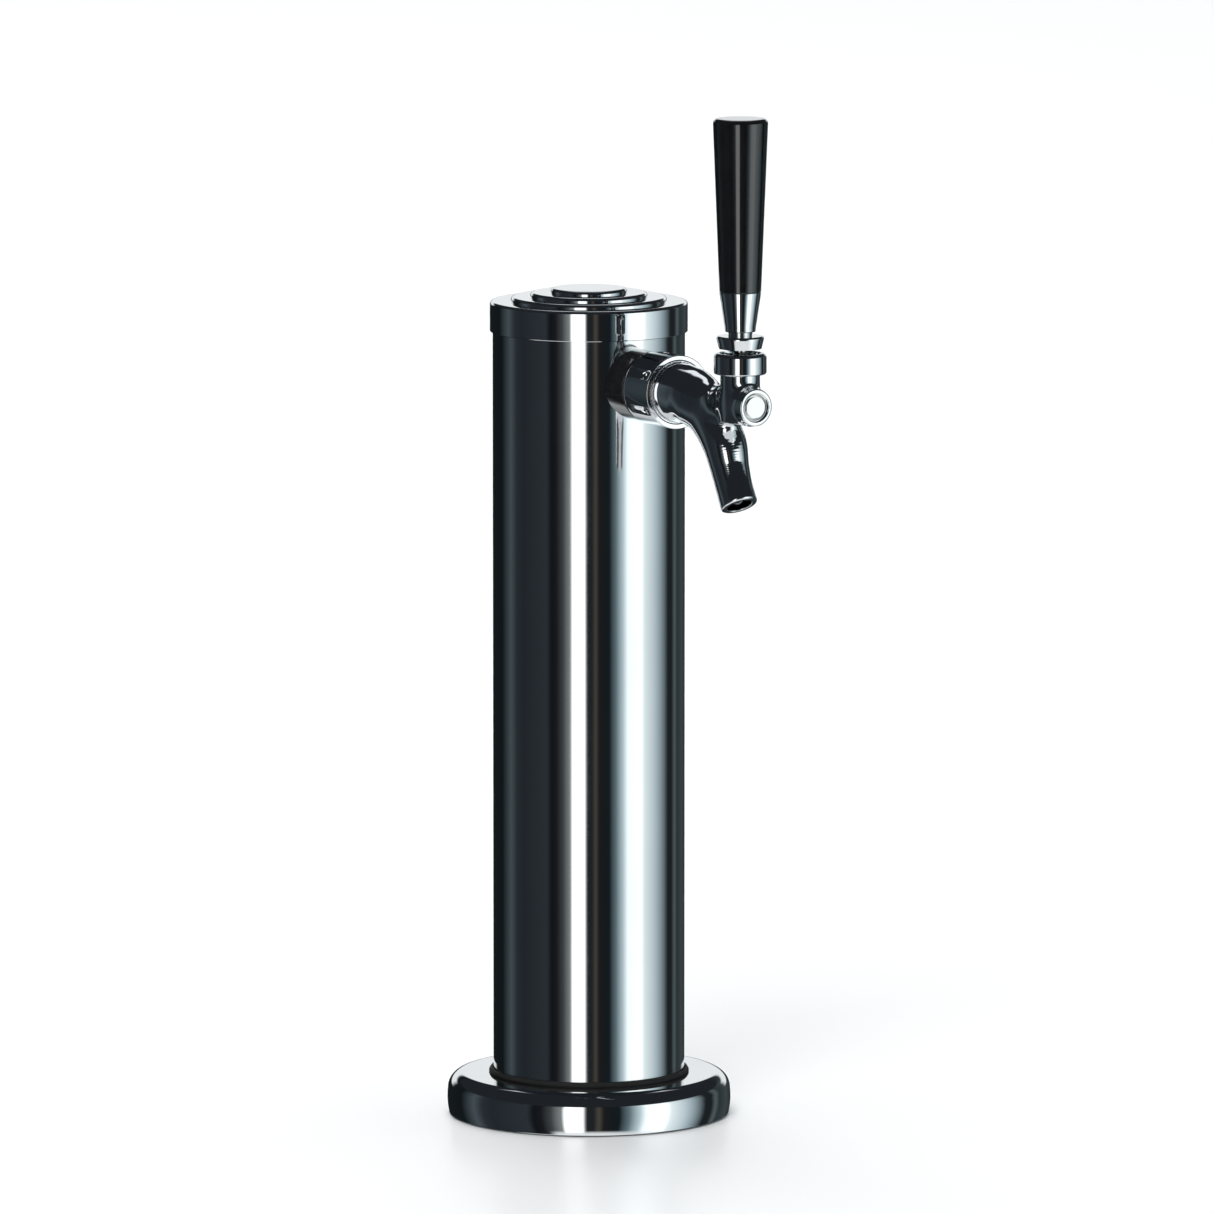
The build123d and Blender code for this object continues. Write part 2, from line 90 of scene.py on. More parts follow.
def arc(c, rad, a0, a1, n):
    return [(c[0] + rad * math.cos(math.radians(a0 + (a1 - a0) * k / n)),
             c[1] + rad * math.sin(math.radians(a0 + (a1 - a0) * k / n))) for k in range(n + 1)]


def arc3(p1, p2, p3, n):
    """Points on the circle through three points."""
    (ax, ay), (bx, by), (cx, cy) = p1, p2, p3
    d = 2 * (ax * (by - cy) + bx * (cy - ay) + cx * (ay - by))
    ux = ((ax * ax + ay * ay) * (by - cy) + (bx * bx + by * by) * (cy - ay) + (cx * cx + cy * cy) * (ay - by)) / d
    uy = ((ax * ax + ay * ay) * (cx - bx) + (bx * bx + by * by) * (ax - cx) + (cx * cx + cy * cy) * (bx - ax)) / d
    rad = math.hypot(ax - ux, ay - uy)
    a0, a1 = math.atan2(ay - uy, ax - ux), math.atan2(cy - uy, cx - ux)
    return [(ux + rad * math.cos(a0 + (a1 - a0) * k / n), uy + rad * math.sin(a0 + (a1 - a0) * k / n)) for k in range(n + 1)]


def z_frame(cx=0.0, cy=0.0):
    return lambda a, r, c, s: (cx + r * c, cy + r * s, a), lambda a, r, c, s: (r * c, r * s, a)


def d_frame():
    return lambda a, r, c, s: (r * c, -a, ZF + r * s), lambda a, r, c, s: (r * c, -a, r * s)


def make_mesh(name, verts, faces, normals=None):
    me = bpy.data.meshes.new(name)
    me.from_pydata([tuple(v) for v in verts], [], faces)
    me.validate()
    me.polygons.foreach_set("use_smooth", [True] * len(me.polygons))
    if normals is not None:
        me.normals_split_custom_set(normals)
    me.update()
    ob = bpy.data.objects.new(name, me)
    bpy.context.scene.collection.objects.link(ob)
    return ob


def lathe(name, outline, place, segs=256, sharp=32.0, warp=None):
    """Turn a closed (a, r) outline, in mm, about an axis. Normals are exact on every face corner."""
    pos, vec = place
    pts = [outline[0]]
    for p in outline[1:]:
        if math.hypot(p[0] - pts[-1][0], p[1] - pts[-1][1]) > 1e-6:
            pts.append(p)
    if math.hypot(pts[0][0] - pts[-1][0], pts[0][1] - pts[-1][1]) < 1e-6:
        pts.pop()
    n = len(pts)
    area = sum(pts[i][1] * pts[(i + 1) % n][0] - pts[(i + 1) % n][1] * pts[i][0] for i in range(n))
    sgn = 1.0 if area > 0 else -1.0
    seg_n, seg_l = [], []
    for i in range(n):
        dr, da = pts[(i + 1) % n][1] - pts[i][1], pts[(i + 1) % n][0] - pts[i][0]
        l = math.hypot(dr, da)
        seg_n.append((sgn * -dr / l, sgn * da / l))     # (a, r) parts
        seg_l.append(l)
    cosl = math.cos(math.radians(sharp))

    def corner(i, seg):
        a, b = (i - 1) % n, i
        na, nb = seg_n[a], seg_n[b]
        if na[0] * nb[0] + na[1] * nb[1] >= cosl:
            x = na[0] * seg_l[a] + nb[0] * seg_l[b]
            y = na[1] * seg_l[a] + nb[1] * seg_l[b]
            m = math.hypot(x, y)
            return (x / m, y / m)
        return seg_n[seg]

    verts, ring = [], []
    cs = [(math.cos(2 * math.pi * k / segs), math.sin(2 * math.pi * k / segs)) for k in range(segs)]
    for a, r in pts:
        if r < 1e-6:
            ring.append([len(verts)] * segs)
            verts.append(pos(a, 0.0, 1.0, 0.0))
        else:
            ring.append(list(range(len(verts), len(verts) + segs)))
            verts += [pos(a, r, c, s) for c, s in cs]
    faces, normals = [], []
    for i in range(n):
        j = (i + 1) % n
        if pts[i][1] < 1e-6 and pts[j][1] < 1e-6:
            continue
        ni, nj = corner(i, i), corner(j, i)
        for k in range(segs):
            k2 = (k + 1) % segs
            cor = [(ring[i][k], ni, k), (ring[j][k], nj, k), (ring[j][k2], nj, k2), (ring[i][k2], ni, k2)]
            if pts[i][1] < 1e-6:
                cor = [(ring[i][k], ni, k), (ring[j][k], nj, k), (ring[j][k2], nj, k2)]
            elif pts[j][1] < 1e-6:
                cor = [(ring[i][k], ni, k), (ring[j][k], nj, k), (ring[i][k2], ni, k2)]
            faces.append([c[0] for c in cor])
            normals.append([vec(nn[0], nn[1], cs[kk][0], cs[kk][1]) for _, nn, kk in cor])
    v = np.array(verts)
    # turn the faces so that they agree with the outline's outward side
    f0 = faces[0]
    fn = np.cross(v[f0[1]] - v[f0[0]], v[f0[2]] - v[f0[0]])
    if np.dot(fn, np.array(normals[0][0])) < 0:
        faces = [f[::-1] for f in faces]
        normals = [m[::-1] for m in normals]
    if warp is not None:
        v = warp(v)
    flat = [tuple(x) for m in normals for x in m]
    return make_mesh(name, v * MM, faces, flat)


# ------------------------------------------------------------------ materials
def nodes_of(mat):
    mat.use_nodes = True
    nt = mat.node_tree
    nt.nodes.clear()
    out = nt.nodes.new("ShaderNodeOutputMaterial")
    bsdf = nt.nodes.new("ShaderNodeBsdfPrincipled")
    nt.links.new(bsdf.outputs[0], out.inputs[0])
    return nt, bsdf


def coords(nt, scale, loc=(0, 0, 0)):
    tc = nt.nodes.new("ShaderNodeTexCoord")
    mp = nt.nodes.new("ShaderNodeMapping")
    mp.inputs["Scale"].default_value = scale
    mp.inputs["Location"].default_value = loc
    nt.links.new(tc.outputs["Object"], mp.inputs["Vector"])
    return mp.outputs[0]


def noise(nt, vec, scale, detail=4.0, rough=0.55):
    n = nt.nodes.new("ShaderNodeTexNoise")
    n.inputs["Scale"].default_value = scale
    n.inputs["Detail"].default_value = detail
    n.inputs["Roughness"].default_value = rough
    nt.links.new(vec, n.inputs["Vector"])
    return n.outputs["Fac"]


def ramp(nt, fac, stops):
    r = nt.nodes.new("ShaderNodeValToRGB")
    els = r.color_ramp.elements
    while len(els) < len(stops):
        els.new(0.5)
    for e, (p, c) in zip(els, stops):
        e.position = p
        e.color = (c, c, c, 1) if not isinstance(c, (tuple, list)) else (*c, 1)
    nt.links.new(fac, r.inputs[0])
    return r.outputs[0]


def to_range(nt, fac, lo, hi, a=0.3, b=0.7):
    m = nt.nodes.new("ShaderNodeMapRange")
    m.inputs["From Min"].default_value = a
    m.inputs["From Max"].default_value = b
    m.inputs["To Min"].default_value = lo
    m.inputs["To Max"].default_value = hi
    nt.links.new(fac, m.inputs[0])
    return m.outputs[0]


def bump(nt, height, strength, distance, normal=None):
    b = nt.nodes.new("ShaderNodeBump")
    b.inputs["Strength"].default_value = strength
    b.inputs["Distance"].default_value = distance
    nt.links.new(height, b.inputs["Height"])
    if normal is not None:
        nt.links.new(normal, b.inputs["Normal"])
    return b.outputs[0]


def mix_color(nt, fac, a, b):
    m = nt.nodes.new("ShaderNodeMix")
    m.data_type = "RGBA"
    m.inputs["A"].default_value = (*a, 1)
    m.inputs["B"].default_value = (*b, 1)
    nt.links.new(fac, m.inputs["Factor"])
    return m.outputs["Result"]


def metal(name, lo_col, hi_col, r_lo, r_hi, smudge=28.0, grain=None, wave=None):
    mat = bpy.data.materials.new(name)
    nt, b = nodes_of(mat)
    b.inputs["Metallic"].default_value = 1.0
    o = coords(nt, (1, 1, 1))
    soft = noise(nt, o, smudge, 5.0, 0.6)
    nt.links.new(mix_color(nt, to_range(nt, soft, 0.0, 1.0), lo_col, hi_col), b.inputs["Base Color"])
    rough = to_range(nt, soft, r_lo, r_hi, 0.35, 0.7)
    nrm = None
    if grain is not None:
        sc, nscale, strength, dist, r_add = grain
        g = noise(nt, coords(nt, sc), nscale, 3.0, 0.6)
        add = nt.nodes.new("ShaderNodeMath")
        add.operation = "ADD"
        nt.links.new(rough, add.inputs[0])
        nt.links.new(to_range(nt, g, 0.0, r_add), add.inputs[1])
        rough = add.outputs[0]
        nrm = bump(nt, g, strength, dist)
    if wave is not None:
        wscale, strength, dist = wave
        nrm = bump(nt, noise(nt, o, wscale, 2.0, 0.5), strength, dist, nrm)
    nt.links.new(rough, b.inputs["Roughness"])
    if nrm is not None:
        nt.links.new(nrm, b.inputs["Normal"])
    return mat


def plastic(name, col, col2, r_lo, r_hi, coat, fine, fine_d, smudge=45.0, coat_rough=0.05):
    mat = bpy.data.materials.new(name)
    nt, b = nodes_of(mat)
    o = coords(nt, (1, 1, 1))
    soft = noise(nt, o, smudge, 6.0, 0.6)
    nt.links.new(mix_color(nt, to_range(nt, soft, 0.0, 1.0), col, col2), b.inputs["Base Color"])
    nt.links.new(to_range(nt, soft, r_lo, r_hi, 0.35, 0.7), b.inputs["Roughness"])
    b.inputs["IOR"].default_value = 1.5
    if coat > 0:
        b.inputs["Coat Weight"].default_value = coat
        b.inputs["Coat Roughness"].default_value = coat_rough
    nt.links.new(bump(nt, noise(nt, o, fine, 3.0, 0.5), 0.25, fine_d), b.inputs["Normal"])
    return mat


STEEL = metal("polished_stainless", (0.76, 0.77, 0.785), (0.81, 0.815, 0.82), 0.045, 0.075, 14.0,
              grain=((10, 10, 1500), 3.0, 0.10, 0.00001, 0.03), wave=(9.0, 0.25, 0.00010))
CHROME = metal("bright_chrome", (0.80, 0.81, 0.825), (0.85, 0.86, 0.87), 0.02, 0.05, 40.0,
               wave=(70.0, 0.18, 0.00004))
CHROME_CAST = metal("chrome_on_casting", (0.78, 0.79, 0.81), (0.84, 0.85, 0.865), 0.03, 0.065, 55.0,
                    wave=(110.0, 0.35, 0.00007))
TURNED = metal("turned_stainless", (0.72, 0.72, 0.71), (0.78, 0.78, 0.77), 0.10, 0.18, 60.0,
               grain=((1, 1, 1), 2600.0, 0.12, 0.00001, 0.05))
PLATED = metal("zinc_plate", (0.55, 0.56, 0.58), (0.66, 0.66, 0.67), 0.22, 0.38, 90.0,
               grain=((1, 1, 1), 1500.0, 0.25, 0.00002, 0.08))
NICKEL = metal("nickel_on_brass", (0.66, 0.62, 0.53), (0.72, 0.68, 0.58), 0.14, 0.26, 80.0,
               grain=((1, 1, 1), 1800.0, 0.2, 0.00002, 0.05))
BRASS = metal("turned_brass", (0.70, 0.53, 0.25), (0.78, 0.60, 0.30), 0.16, 0.28, 80.0,
              grain=((1, 1, 1), 1800.0, 0.2, 0.00002, 0.05))
GRIP = plastic("gloss_black_plastic", (0.004, 0.0042, 0.005), (0.007, 0.0073, 0.0085), 0.07, 0.12, 1.0, 300.0, 0.00001)
COLLAR = plastic("gloss_black_collar", (0.006, 0.006, 0.007), (0.011, 0.011, 0.012), 0.14, 0.22, 1.0, 500.0, 0.00001, coat_rough=0.05)
RUBBER = plastic("black_rubber", (0.012, 0.012, 0.012), (0.022, 0.022, 0.022), 0.55, 0.75, 0.0, 1800.0, 0.00005)
NYLON = plastic("natural_nylon", (0.74, 0.72, 0.66), (0.82, 0.80, 0.74), 0.35, 0.5, 0.0, 900.0, 0.00003)
FOAM = plastic("closed_cell_foam", (0.045, 0.045, 0.048), (0.08, 0.08, 0.085), 0.75, 0.9, 0.0, 1400.0, 0.0003)

BY_NODE = {
    "column_tube": STEEL, "base_cover": CHROME, "top_cap": CHROME, "coupling_nut": CHROME,
    "faucet_body": CHROME_CAST, "lever_bonnet": CHROME, "lever_collar": CHROME, "handle_ferrule": CHROME,
    "faucet_shaft": TURNED, "lever": TURNED, "beer_tube": TURNED, "handle_grip": GRIP, "shank_collar": COLLAR,
    "cover_seal_ring": RUBBER, "base_gasket": RUBBER, "cap_seal_ring": RUBBER, "shaft_seat_washer": RUBBER,
    "insulation_sleeve": FOAM, "mounting_flange": PLATED, "inner_saddle_washer": PLATED, "shank_lock_nut": PLATED,
    "shank": NICKEL, "shank_shoulder_ring": CHROME, "tail_nut": NICKEL, "shaft_seat_nut": NICKEL, "handle_insert": BRASS,
    "tail_washer": NYLON, "coupling_washer": NYLON, "ball_seat_washer": NYLON, "friction_washer": NYLON,
}
for node, mat in BY_NODE.items():
    ob = bpy.data.objects.get(node)
    if ob is None:
        for o in bpy.data.objects:
            if o.name.split(".")[0] == node:
                ob = o
    if not ob.material_slots:
        ob.data.materials.append(mat)
    for ms in ob.material_slots:
        ms.material = mat


def stand_for(ob, node, body, mat=None):
    ob.data.materials.clear()
    ob.data.materials.append(mat or BY_NODE[node])
    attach(ob, body)
    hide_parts(node)
    return ob


# ------------------------------------------------------------------ column
def column():
    zs0, zs1 = 5.5, 322.4
    levels = [zs0 + 0.5, 60, 120, 180, 240, 280.5, 312.5, zs1 - 0.4]
    outer = [(zs0, COL_R - 0.5)] + [(z, COL_R) for z in levels] + [(zs1, COL_R - 0.4)]
    inner = [(zs1, 36.6), (zs0, 36.6)]
    ob = lathe("column_tube_skin", outer + inner, z_frame(), segs=384, sharp=30)
    bpy.ops.mesh.primitive_cylinder_add(vertices=96, radius=11.3 * MM, depth=30 * MM,
                                        location=(0, -38 * MM, ZF * MM), rotation=(math.pi / 2, 0, 0))
    cut = bpy.context.object
    mod = ob.modifiers.new("hole", "BOOLEAN")
    mod.operation = "DIFFERENCE"
    mod.solver = "EXACT"
    mod.object = cut
    dg = bpy.context.evaluated_depsgraph_get()
    me = bpy.data.meshes.new_from_object(ob.evaluated_get(dg))
    ob.modifiers.clear()
    ob.data = me
    bpy.data.objects.remove(cut)
    # exact normals again, from the shape itself
    normals = []
    vs = me.vertices
    for p in me.polygons:
        pn = p.normal
        for vi in p.vertices:
            co = vs[vi].co
            rad = math.hypot(co.x, co.y)
            radial = Vector((co.x / rad, co.y / rad, 0))
            if abs(pn.z) < 0.2 and abs(pn.dot(radial)) > 0.93:
                normals.append(radial if pn.dot(radial) > 0 else -radial)
            else:
                normals.append(pn)
    me.polygons.foreach_set("use_smooth", [True] * len(me.polygons))
    me.normals_split_custom_set([tuple(x) for x in normals])
    return ob


stand_for(column(), "column_tube", "root")

# ------------------------------------------------------------------ base cover and its seal
cover = [(16.2, 38.5), (16.5, 38.8)] + arc((10.1, 49.9), 6.4, 0, 90, 18) + arc3((10.1, 56.3), (6.2, 56.5), (0.5, 55.84), 10)[1:]
cover += [(0.3, 55.6)] + rounded([
    (0.3, 53.8), (9.6, 53.8, 1.5), (12.8, 52.15, 1.0), (14.5, 49.4, 1.0), (14.5, 38.5),
], 6)
stand_for(lathe("base_cover_skin", cover, z_frame(), segs=384), "base_cover", "cover")

seal = rounded([(16.52, 38.2, 0.1), (18.4, 38.2, 0.45), (18.35, 39.25, 0.6), (17.2, 39.9, 0.6), (16.52, 39.88, 0.1)], 6)
stand_for(lathe("cover_seal_skin", seal, z_frame(), segs=256), "cover_seal_ring", "cover")

# ------------------------------------------------------------------ cap
cap = [(314.1, 38.2), (314.0, 38.3), (314.0, 39.0), (314.2, 39.2)] + arc((324.6, 37.8), 1.4, 90, 0, 10)
for top, rad in ((327.7, 31.0), (329.4, 23.3), (331.08, 15.2)):
    cap += [(cap[-1][0], rad)] + arc((top - 1.45, rad - 1.45), 1.45, 90, 0, 10)
cap += [(331.08, 0.0), (324.0, 0.0), (324.0, 38.2)]
stand_for(lathe("top_cap_skin", cap, z_frame(), segs=384), "top_cap", "cap")


# ------------------------------------------------------------------ shank collar with its saddle
def saddle(v):
    v = v.copy()
    near = v[:, 1] > -35.0
    v[near, 1] = -np.sqrt((COL_R + 0.02) ** 2 - v[near, 0] ** 2)
    return v


collar = rounded([(30.0, 11.15), (30.0, 14.0), (39.6, 14.0), (48.5, 14.0, 0.5), (48.5, 11.15, 0.2), (39.6, 11.15)], 5)
stand_for(lathe("shank_collar_skin", collar, d_frame(), segs=256, warp=saddle), "shank_collar", "root")


# ------------------------------------------------------------------ coupling nut with spanner holes
def coupling_nut():
    prof = rounded([
        (50.3, 11.2, 0.1), (50.3, 14.5, 0.6), (68.0, 14.5, 0.4), (68.0, 12.7, 0.25), (66.8, 12.5), (57.05, 12.5), (57.05, 11.2, 0.1),
    ], 6)
    ob = lathe("coupling_nut_skin", prof, d_frame(), segs=288)
    dg = bpy.context.evaluated_depsgraph_get()
    cuts = []
    for k in range(6):
        a = math.radians(30 + 60 * k)
        dx, dz = math.cos(a), math.sin(a)
        bpy.ops.mesh.primitive_cylinder_add(vertices=48, radius=2.1 * MM, depth=3.2 * MM,
                                            location=(dx * 14.5 * MM, -63.6 * MM, (ZF + dz * 14.5) * MM))
        c = bpy.context.object
        c.rotation_mode = "QUATERNION"
        c.rotation_quaternion = Vector((dx, 0, dz)).to_track_quat("Z", "Y")
        cuts.append(c)
    for c in cuts:
        mod = ob.modifiers.new("h", "BOOLEAN")
        mod.operation = "DIFFERENCE"
        mod.solver = "EXACT"
        mod.object = c
    bpy.context.view_layer.update()
    dg = bpy.context.evaluated_depsgraph_get()
    me = bpy.data.meshes.new_from_object(ob.evaluated_get(dg))
    ob.modifiers.clear()
    ob.data = me
    for c in cuts:
        bpy.data.objects.remove(c)
    me.set_sharp_from_angle(angle=math.radians(35))
    return ob


stand_for(coupling_nut(), "coupling_nut", "root")

# ------------------------------------------------------------------ lever pieces
LF = z_frame(0.0, -BALL_D)


def up(h):
    return BALL_Z + h


bonnet = [(up(-1.5), 8.75)] + arc((up(-0.7), 9.45), 0.8, 180, 90, 8) + arc((up(5.05), 8.6), 1.65, 90, 0, 12)
bonnet += [(up(6.7), 8.3), (up(3.1), 6.2), (up(3.1), 8.75)]
stand_for(lathe("lever_bonnet_skin", bonnet, LF, segs=192), "lever_bonnet", "root")

DISH = 11.85
dish = [(up(DISH * math.cos(t)), DISH * math.sin(t)) for t in np.linspace(math.asin(2.65 / DISH), math.asin(8.3 / DISH), 14)]
lc = dish + rounded([(up(8.5), 8.32), (up(13.4), 9.5, 0.9), (up(13.4), 2.65)], 8)
stand_for(lathe("lever_collar_skin", lc, LF, segs=192), "lever_collar", "lever")

ferrule = rounded([
    (up(15.0), 4.75), (up(15.0), 5.95, 0.45), (up(16.6), 6.05, 3.0), (up(29.7), 8.02, 1.2), (up(30.6), 8.1, 0.3), (up(30.6), 4.75),
], 8)
stand_for(lathe("handle_ferrule_skin", ferrule, LF, segs=192), "handle_ferrule", "lever")

grip = rounded([
    (up(30.6), 6.45), (up(30.6), 8.1, 0.35), (up(98.0), 10.75, 1.9), (up(98.0), 0.0), (up(51.6), 0.0), (up(51.6), 6.45, 0.3),
], 10)
grip = grip[:]
stand_for(lathe("handle_grip_skin", grip, LF, segs=192), "handle_grip", "lever")

tip_join = -13.5 + math.sqrt(9 - 1.96)
lever = [(up(-16.5), 0.0)] + [(up(-13.5 - 3 * math.cos(t)), 3 * math.sin(t)) for t in np.linspace(0.15, math.pi - math.asin(1.4 / 3), 22)]
lever += [(up(-math.sqrt(42.25 - 1.96)), 1.4)] + [(up(-6.5 * math.cos(t)), 6.5 * math.sin(t)) for t in np.linspace(math.asin(1.4 / 6.5) + 0.05, math.pi - math.asin(2.6 / 6.5), 40)]
lever += [(up(13.4), 2.6), (up(13.4), 4.7), (up(41.8), 4.7), (up(42.5), 4.0), (up(42.5), 0.0)]
stand_for(lathe("lever_stem_skin", lever, LF, segs=128, sharp=28), "lever", "lever")

shaft_ob = bpy.data.objects.get("faucet_shaft")


# ------------------------------------------------------------------ faucet body as one blended casting
def smin(a, b, k):
    h = np.clip(0.5 + 0.5 * (b - a) / k, 0, 1)
    return b + (a - b) * h - k * h * (1 - h)


def smax(a, b, k):
    return -smin(-a, -b, k)


def catmull(pts, per):
    pts = np.array(pts, float)
    out = []
    for i in range(len(pts) - 1):
        p0 = pts[max(i - 1, 0)]
        p1, p2 = pts[i], pts[i + 1]
        p3 = pts[min(i + 2, len(pts) - 1)]
        for k in range(per):
            t = k / per
            out.append(0.5 * ((2 * p1) + (-p0 + p2) * t + (2 * p0 - 5 * p1 + 4 * p2 - p3) * t * t + (-p0 + 3 * p1 - 3 * p2 + p3) * t ** 3))
    out.append(pts[-1])
    return np.array(out)


PROF_D = np.array([60.5, 67.8, 68.0, 72.0, 76.0, 81.0, 86.0, 91.0, 95.0, 99.0, 103.0, 108.0, 126.0])
PROF_R = np.array([11.9, 11.9, 11.9, 11.65, 11.2, 10.45, 8.85, 6.95, 6.1, 6.35, 7.1, 7.3, 7.3])
_d = np.arange(60.5, 126.01, 0.1)
_w = np.exp(-0.5 * (np.arange(-40, 41) * 0.1 / 1.1) ** 2)
PROF_R = np.convolve(np.pad(np.interp(_d, PROF_D, PROF_R), 40, mode="edge"), _w / _w.sum(), "valid")
PROF_D = _d
TIP = np.array([113.6, 256.7])
LEAN = math.radians(31.0)
TDIR = np.array([math.sin(LEAN), -math.cos(LEAN)])
START = TIP - 13.0 * TDIR
SP = catmull([(84.5, 292.5, 8.1), (94.6, 287.2, 8.6), (102.3, 280.2, 8.6), (106.3, 271.2, 7.6), (109.6, 263.9, 7.2),
              (113.6, 256.7, 7.32), (115.0, 254.4, 7.35)], 10)
BP = catmull([(82.5, 296.0, 4.6), (88.5, 289.8, 4.6), (95.5, 283.6, 4.6), (102.4, 276.2, 4.6), (START[0], START[1], 4.6)], 4)


def tube_field(path, x, d, z):
    best = np.full(x.shape, 1e9, np.float32)
    for i in range(len(path) - 1):
        a, b = path[i], path[i + 1]
        e = b[:2] - a[:2]
        l2 = float(e @ e)
        t = np.clip(((d - a[0]) * e[0] + (z - a[1]) * e[1]) / l2, 0, 1)
        dd = d - (a[0] + t * e[0])
        dz = z - (a[1] + t * e[1])
        r = a[2] + t * (b[2] - a[2])
        best = np.minimum(best, np.sqrt(x * x + dd * dd + dz * dz) - r)
    return best


def field(x, d, z):
    """Signed distance, about, to the faucet body, in mm. x across, d forward, z up."""
    rho = np.sqrt(x * x + (z - ZF) ** 2)
    prof = np.interp(d, PROF_D, PROF_R).astype(np.float32)
    slope = (np.interp(d + 0.5, PROF_D, PROF_R) - np.interp(d - 0.5, PROF_D, PROF_R))
    core = (rho - prof) / np.sqrt(1 + slope * slope)
    core = smax(core, 67.0 - d, 0.3)
    core = smax(core, d - 126.0, 0.8)
    q = np.sqrt(x * x + (d - BALL_D) ** 2)
    neck = smax(q - 7.7, z - (BALL_Z - 1.55), 0.2)
    neck = np.maximum(neck, 290.0 - z)
    spout = tube_field(SP, x, d, z)
    s_ax = (d - TIP[0]) * TDIR[0] + (z - TIP[1]) * TDIR[1]
    off = np.sqrt(x * x + ((d - TIP[0]) * TDIR[1] - (z - TIP[1]) * TDIR[0]) ** 2)
    solid = smin(core, spout, 5.5)
    solid = smin(solid, neck, 3.0)
    solid = smax(solid, s_ax, 1.0)
    # rear thread in the coupling nut, and the bonnet's thread
    rear = np.maximum(np.maximum(rho - 12.4, 60.5 - d), d - 67.9)
    thr = np.maximum(np.maximum(q - 8.7, z - (BALL_Z + 2.6)), (BALL_Z - 1.55) - z)
    solid = np.minimum(np.minimum(solid, rear), thr)
    # hollow inside
    def bore(r, d0, d1):
        return np.maximum(np.maximum(rho - r, d0 - d), d - d1)
    hole = bore(9.0, 50.0, 76.0)
    hole = np.minimum(hole, bore(5.0, 75.0, 86.0))
    hole = np.minimum(hole, bore(2.82, 85.0, 101.0))
    hole = np.minimum(hole, bore(5.08, 100.3, 130.0))
    # chamfered mouth of the front bore
    hole = np.minimum(hole, np.maximum(rho - 5.08 - (d - 125.2) * 0.8, 125.2 - d))
    hole = np.minimum(hole, tube_field(BP, x, d, z))
    sp = np.maximum(off - 5.0, -13.0 - s_ax)
    hole = np.minimum(hole, np.maximum(sp, s_ax - 6.0))
    rb = np.sqrt(x * x + (d - BALL_D) ** 2 + (z - BALL_Z) ** 2)
    hole = np.minimum(hole, rb - 6.75)
    hole = np.minimum(hole, np.maximum(q - 6.5, np.maximum(BALL_Z - 4.1 - z, z - BALL_Z - 5)))
    hole = np.minimum(hole, np.maximum(q - 7.4, np.maximum(BALL_Z + 0.3 - z, z - BALL_Z - 5)))
    slot = np.maximum(np.abs(x) - 3.3, np.maximum(d - 117.6, z - (BALL_Z - 3.9)))
    slot = np.maximum(slot, ZF - z)
    lean = (108.9 - d) - (z - 306.0) * (108.9 - 106.0) / (302.3 - 306.0) * -1.0
    rear_wall = np.where(z > 302.3, 108.9 + (z - 306.0) * (106.0 - 108.9) / (302.3 - 306.0) - d, 102.7 - d)
    slot = np.maximum(slot, rear_wall)
    hole = np.minimum(hole, slot)
    return smax(solid, -hole, 0.25)


